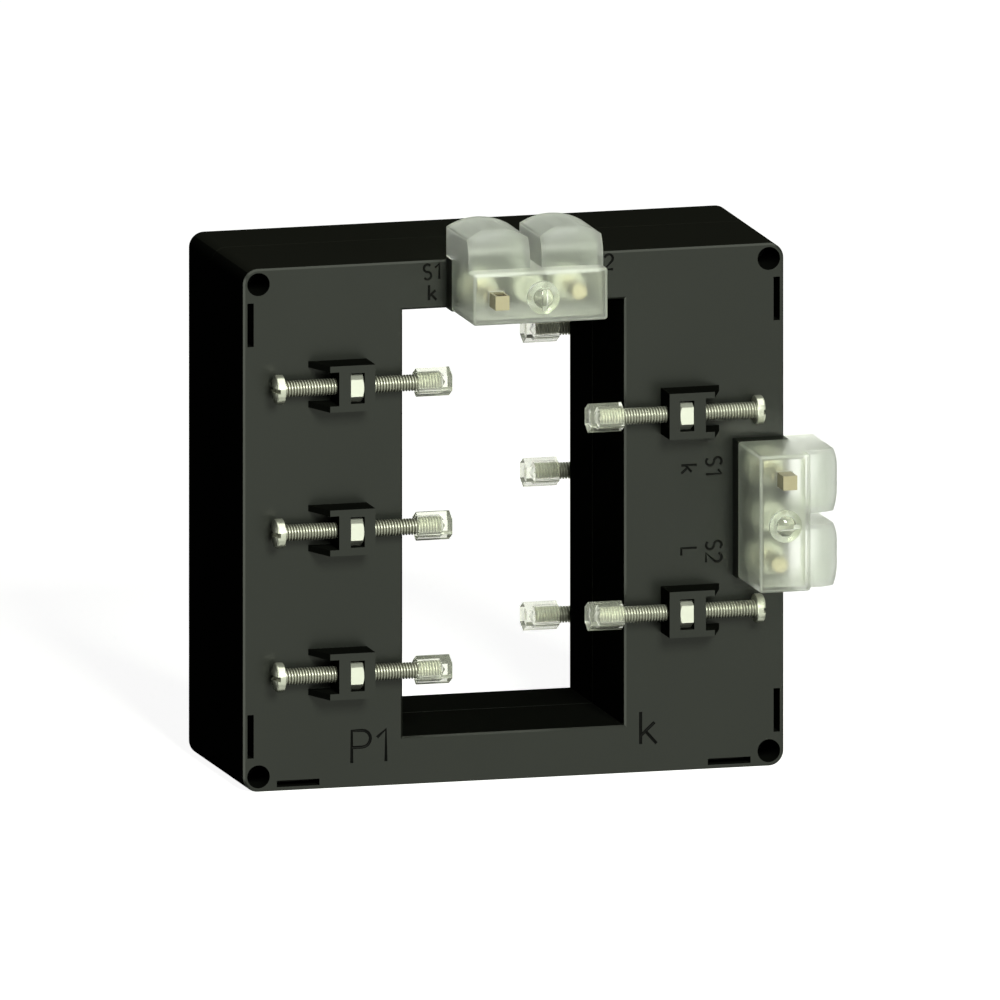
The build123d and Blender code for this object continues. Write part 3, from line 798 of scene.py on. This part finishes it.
def hood_ridges(bm, out, along, edge):
    """The edges between the hoods' arches and their upright sides."""
    ridges = []
    for line in bm.edges:
        if len(line.link_faces) != 2 or not line.is_convex:
            continue
        arches = [is_arch(face, out, along, edge) for face in line.link_faces]
        sides = [abs(getattr(face.normal, along)) > 0.99 for face in line.link_faces]
        if any(arches) and any(sides) and min(getattr(end.co, out) for end in line.verts) > edge:
            ridges.append(line)
    return ridges


for block_name, out, along in (("top", "z", "x"), ("side", "x", "z")):
    cover_mesh = bpy.data.meshes[block_name + "_terminal_cover_finished"]
    cover_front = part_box(block_name + "_terminal_cover")[0].y
    edge = getattr(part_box(block_name + "_terminal_base")[1], out) + past_base
    cover_mesh.materials.append(satin_hood)
    cover_mesh.materials.append(painted_edge_highlight)
    bm = bmesh.new()
    bm.from_mesh(cover_mesh)
    bm.normal_update()
    ridges = hood_ridges(bm, out, along, edge)
    for face in bm.faces:
        face.material_index = satin if is_arch(face, out, along, edge) else frosted
    bmesh.ops.bevel(
        bm,
        geom=ridges,
        offset=ridge_bevel,
        segments=2,
        profile=0.6,
        affect="EDGES",
        material=highlight_edge,
    )
    # Tilted faces near the front take the painted highlight too
    for face in bm.faces:
        near_front = face.calc_center_median().y < cover_front + front_edge_depth
        tilted = max(abs(part) for part in face.normal) < 0.985
        if near_front and tilted and face.material_index == frosted:
            face.material_index = highlight_edge
    bm.to_mesh(cover_mesh)
    bm.free()
    soften(cover_mesh, round_angle)

# The terminals' nuts and washers are plated, and so is the pillar past each base's plate
base_plate = 5.05 * MM
for block_name in blocks:
    for terminal in ("_s1", "_s2"):
        for kind in ("_nut", "_washer"):
            nodes[block_name + terminal + kind].data.materials[0] = spacer_plating
    name = block_name + "_terminal_base"
    finished = welded_copy(name, name + "_finished")
    soften(finished, round_angle)
    add_piece(name + "_finished", finished, body_of_node[name], slot_of_node[name], (name,))
    finished.materials.append(spacer_plating)
    for face in finished.polygons:
        face.material_index = 1 if face.center.y < front_y - base_plate else 0


# Floor, backdrop light and lamp
def through_clear(tree, rays):
    """1 for a ray that has come through clear plastic and off nothing dull, else 0."""
    through = math_node(tree, "MINIMUM", rays.outputs["Transmission Depth"], 1.0)
    from_dull = math_node(tree, "MINIMUM", rays.outputs["Diffuse Depth"], 1.0)
    return math_node(tree, "MULTIPLY", through, math_node(tree, "SUBTRACT", 1.0, from_dull))


floor_reach = 6.0
floor_gap = 0.02 * MM
floor_glow_strength = 0.93
floor_mesh = bpy.data.meshes.new("pale_floor")
floor_mesh.from_pydata(
    [
        (-floor_reach, -floor_reach, 0),
        (floor_reach, -floor_reach, 0),
        (floor_reach, floor_reach, 0),
        (-floor_reach, floor_reach, 0),
    ],
    [],
    [(0, 1, 2, 3)],
)
floor = bpy.data.objects.new("pale_floor", floor_mesh)
floor.location.z = -floor_gap
scene.collection.objects.link(floor)
floor.visible_glossy = False
floor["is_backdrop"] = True

# The floor is white to the camera and through the clear pieces, keeps part of the shadow
# and gives the dark pieces little light
floor_material = bpy.data.materials.new("pale_floor")
floor_material.use_nodes = True
floor_tree = floor_material.node_tree
floor_tree.nodes.clear()
floor_output = floor_tree.nodes.new("ShaderNodeOutputMaterial")
floor_paint = floor_tree.nodes.new("ShaderNodeBsdfDiffuse")
floor_paint.inputs["Color"].default_value = (0.9, 0.9, 0.9, 1)
floor_glow = floor_tree.nodes.new("ShaderNodeEmission")
floor_glow.inputs["Color"].default_value = (1, 1, 1, 1)
floor_glow.inputs["Strength"].default_value = floor_glow_strength
floor_dark = floor_tree.nodes.new("ShaderNodeBsdfDiffuse")
floor_dark.inputs["Color"].default_value = (0.12, 0.12, 0.12, 1)
rays = floor_tree.nodes.new("ShaderNodeLightPath")
seen = through_clear(floor_tree, rays)
seen = math_node(floor_tree, "MAXIMUM", rays.outputs["Is Camera Ray"], seen)
shaded_white = floor_tree.nodes.new("ShaderNodeAddShader")
floor_tree.links.new(floor_paint.outputs["BSDF"], shaded_white.inputs[0])
floor_tree.links.new(floor_glow.outputs["Emission"], shaded_white.inputs[1])
floor_choice = floor_tree.nodes.new("ShaderNodeMixShader")
floor_tree.links.new(seen, floor_choice.inputs["Fac"])
floor_tree.links.new(floor_dark.outputs["BSDF"], floor_choice.inputs[1])
floor_tree.links.new(shaded_white.outputs["Shader"], floor_choice.inputs[2])
floor_tree.links.new(floor_choice.outputs["Shader"], floor_output.inputs["Surface"])
floor_mesh.materials.append(floor_material)

world = bpy.data.worlds.new("studio")
scene.world = world
world.use_nodes = True
sky = world.node_tree
sky.nodes.clear()
sky_output = sky.nodes.new("ShaderNodeOutputWorld")
lamp_tint = (0.94, 1.0, 0.84)


def sky_light(strength, tint=(1, 1, 1)):
    """Light from all round, of a fixed or a linked strength."""
    light = sky.nodes.new("ShaderNodeBackground")
    light.inputs["Color"].default_value = (*tint, 1)
    if hasattr(strength, "is_output"):
        sky.links.new(strength, light.inputs["Strength"])
    else:
        light.inputs["Strength"].default_value = strength
    return light.outputs["Background"]


def ramp(value, start, end):
    """0 up to the start, 1 from the end on."""
    node = sky.nodes.new("ShaderNodeMapRange")
    node.interpolation_type = "SMOOTHSTEP"
    sky.links.new(value, node.inputs["Value"])
    node.inputs["From Min"].default_value = start
    node.inputs["From Max"].default_value = end
    return node.outputs["Result"]


def sky_mix(factor, first, second):
    """The first light where the factor is 0, the second where it is 1."""
    node = sky.nodes.new("ShaderNodeMixShader")
    sky.links.new(factor, node.inputs["Fac"])
    sky.links.new(first, node.inputs[1])
    sky.links.new(second, node.inputs[2])
    return node.outputs["Shader"]


# What shines in the plastic and the metal: panels in front, under, above, on the left and
# behind. Each ramp is of the direction's own part, from -1 to 1
under_strength, top_strength, left_strength, back_strength = 0.75, 2.2, 2.6, 0.5
dim_strength = 0.015
around = sky.nodes.new("ShaderNodeTexCoord")
parts = sky.nodes.new("ShaderNodeSeparateXYZ")
sky.links.new(around.outputs["Generated"], parts.inputs["Vector"])
to_right, to_back, to_top = (parts.outputs[axis] for axis in "XYZ")
panels = math_node(sky, "MULTIPLY", ramp(to_back, -0.1, -0.4), ramp(to_top, 0.55, 0.5))
panels = math_node(sky, "MULTIPLY", panels, ramp(to_top, -0.84, -0.8))
for panel, strength in (
    (ramp(to_top, -0.86, -0.9), under_strength),
    (ramp(to_top, 0.6, 0.66), top_strength),
):
    panels = math_node(sky, "ADD", panels, math_node(sky, "MULTIPLY", panel, strength))
panels = math_node(sky, "MULTIPLY", panels, ramp(to_right, 0.85, 0.6))
left_panel = math_node(sky, "MULTIPLY", ramp(to_right, -0.84, -0.92), left_strength)
panels = math_node(sky, "ADD", panels, left_panel)
panels = math_node(sky, "MULTIPLY", panels, ramp(to_back, 0.35, 0.1))
back_panel = math_node(sky, "MULTIPLY", ramp(to_back, 0.1, 0.4), back_strength)
panels = math_node(sky, "ADD", panels, back_panel)

# The backdrop is white to the camera and behind the clear pieces, and dim for the rest
sky_rays = sky.nodes.new("ShaderNodeLightPath")
seen_through = through_clear(sky, sky_rays)
seen_through = math_node(sky, "MULTIPLY", seen_through, ramp(to_back, -0.2, 0.2))
shown = math_node(sky, "MAXIMUM", sky_rays.outputs["Is Camera Ray"], seen_through)
sky_surface = sky_mix(
    sky_rays.outputs["Is Glossy Ray"], sky_light(dim_strength), sky_light(panels, lamp_tint)
)
sky_surface = sky_mix(shown, sky_surface, sky_light(1.0))
sky.links.new(sky_surface, sky_output.inputs["Surface"])


def add_lamp(name, azimuth, elevation, distance, size, power):
    """A square soft light aimed at the middle of the window."""
    light = bpy.data.lights.new(name, "AREA")
    light.shape = "SQUARE"
    light.size = size
    light.energy = power
    light.color = lamp_tint
    lamp = bpy.data.objects.new(name, light)
    scene.collection.objects.link(lamp)
    a, e = math.radians(azimuth), math.radians(elevation)
    back = Vector((math.sin(a) * math.cos(e), -math.cos(a) * math.cos(e), math.sin(e)))
    target = Vector((0, 0, middle_z))
    lamp.location = target + back * distance
    lamp.rotation_mode = "QUATERNION"
    lamp.rotation_quaternion = (-back).to_track_quat("-Z", "Y")
    return lamp


add_lamp("key_light", azimuth=2, elevation=26, distance=1.6, size=0.45, power=22)

# Camera: the photograph has no perspective, and looks from the left and a little above
camera_azimuth = -15.23
camera_elevation = 10.87
pixels_per_mm = 4.2585
picture_pixels = 1000.0
face_middle_pixel = (513.65, 517.65)
camera_distance = 2.0
camera_data = bpy.data.cameras.new("camera")
camera_data.type = "ORTHO"
camera_data.ortho_scale = picture_pixels / pixels_per_mm * MM
camera_data.clip_start = 0.01
camera_data.clip_end = 20
camera = bpy.data.objects.new("camera", camera_data)
scene.collection.objects.link(camera)
scene.camera = camera
turn_left, tilt = math.radians(camera_azimuth), math.radians(camera_elevation)
camera_back = Vector(
    (
        math.sin(turn_left) * math.cos(tilt),
        -math.cos(turn_left) * math.cos(tilt),
        math.sin(tilt),
    )
)
camera.rotation_mode = "QUATERNION"
camera.rotation_quaternion = (-camera_back).to_track_quat("-Z", "Y")
camera_right = camera.rotation_quaternion @ Vector((1, 0, 0))
camera_up = camera.rotation_quaternion @ Vector((0, 1, 0))
pixel = MM / pixels_per_mm
face_middle = Vector((0, front_y, middle_z))
camera_target = (
    face_middle
    - camera_right * (face_middle_pixel[0] - picture_pixels / 2) * pixel
    + camera_up * (face_middle_pixel[1] - picture_pixels / 2) * pixel
)
camera.location = camera_target + camera_back * camera_distance

scene.view_settings.view_transform = "Standard"

low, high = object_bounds()
